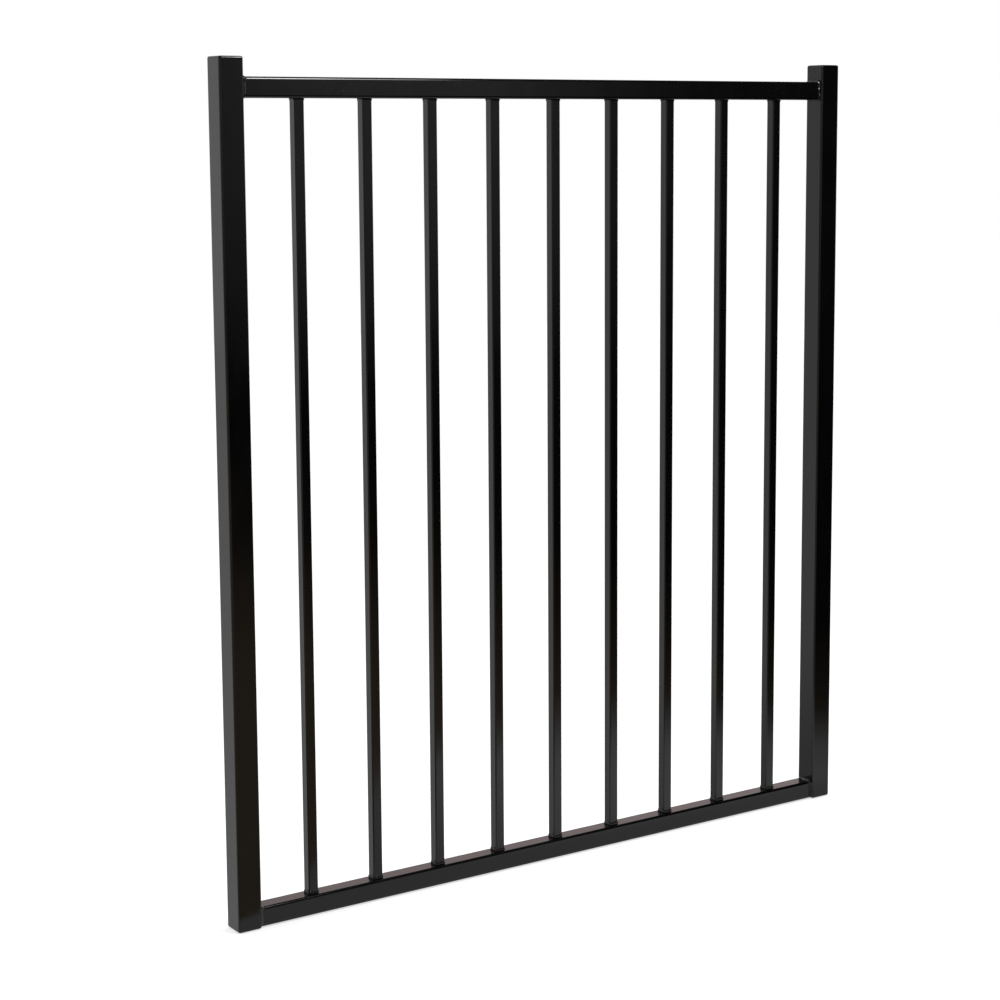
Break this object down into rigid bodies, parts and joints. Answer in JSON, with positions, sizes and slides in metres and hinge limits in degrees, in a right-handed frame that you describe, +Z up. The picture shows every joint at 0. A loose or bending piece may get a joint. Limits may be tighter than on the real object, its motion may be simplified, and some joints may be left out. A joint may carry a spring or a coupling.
{
  "type": "steel fence gate",
  "caption": "Flat-top welded steel gate leaf: square-tube uprights and rails with upright square pickets, black coated, closed tube ends.",
  "frame": {"origin": "middle of the left upright's flat outer face, where the leaf is hung", "axes": "+Z up, +X along the leaf from the left upright to the right one, front towards -Y"},
  "size_m": [1.156, 0.038, 1.265],
  "materials": {
    "powder_coat": "satin black powder coat on steel",
    "coated_weld": "satin black powder coat on rippled weld beads"
  },
  "bodies": {
    "root": {"left_upright": "powder_coat", "right_upright": "powder_coat", "top_rail": "powder_coat", "bottom_rail": "powder_coat", "picket_1": "powder_coat", "picket_2": "powder_coat", "picket_3": "powder_coat", "picket_4": "powder_coat", "picket_5": "powder_coat", "picket_6": "powder_coat", "picket_7": "powder_coat", "picket_8": "powder_coat", "picket_9": "powder_coat", "left_top_cap": "powder_coat", "left_bottom_cap": "powder_coat", "right_top_cap": "powder_coat", "right_bottom_cap": "powder_coat", "top_rail_left_weld": "coated_weld", "top_rail_right_weld": "coated_weld", "bottom_rail_left_weld": "coated_weld", "bottom_rail_right_weld": "coated_weld", "picket_1_top_weld": "coated_weld", "picket_1_bottom_weld": "coated_weld", "picket_2_top_weld": "coated_weld", "picket_2_bottom_weld": "coated_weld", "picket_3_top_weld": "coated_weld", "picket_3_bottom_weld": "coated_weld", "picket_4_top_weld": "coated_weld", "picket_4_bottom_weld": "coated_weld", "picket_5_top_weld": "coated_weld", "picket_5_bottom_weld": "coated_weld", "picket_6_top_weld": "coated_weld", "picket_6_bottom_weld": "coated_weld", "picket_7_top_weld": "coated_weld", "picket_7_bottom_weld": "coated_weld", "picket_8_top_weld": "coated_weld", "picket_8_bottom_weld": "coated_weld", "picket_9_top_weld": "coated_weld", "picket_9_bottom_weld": "coated_weld"}
  },
  "joints": []
}
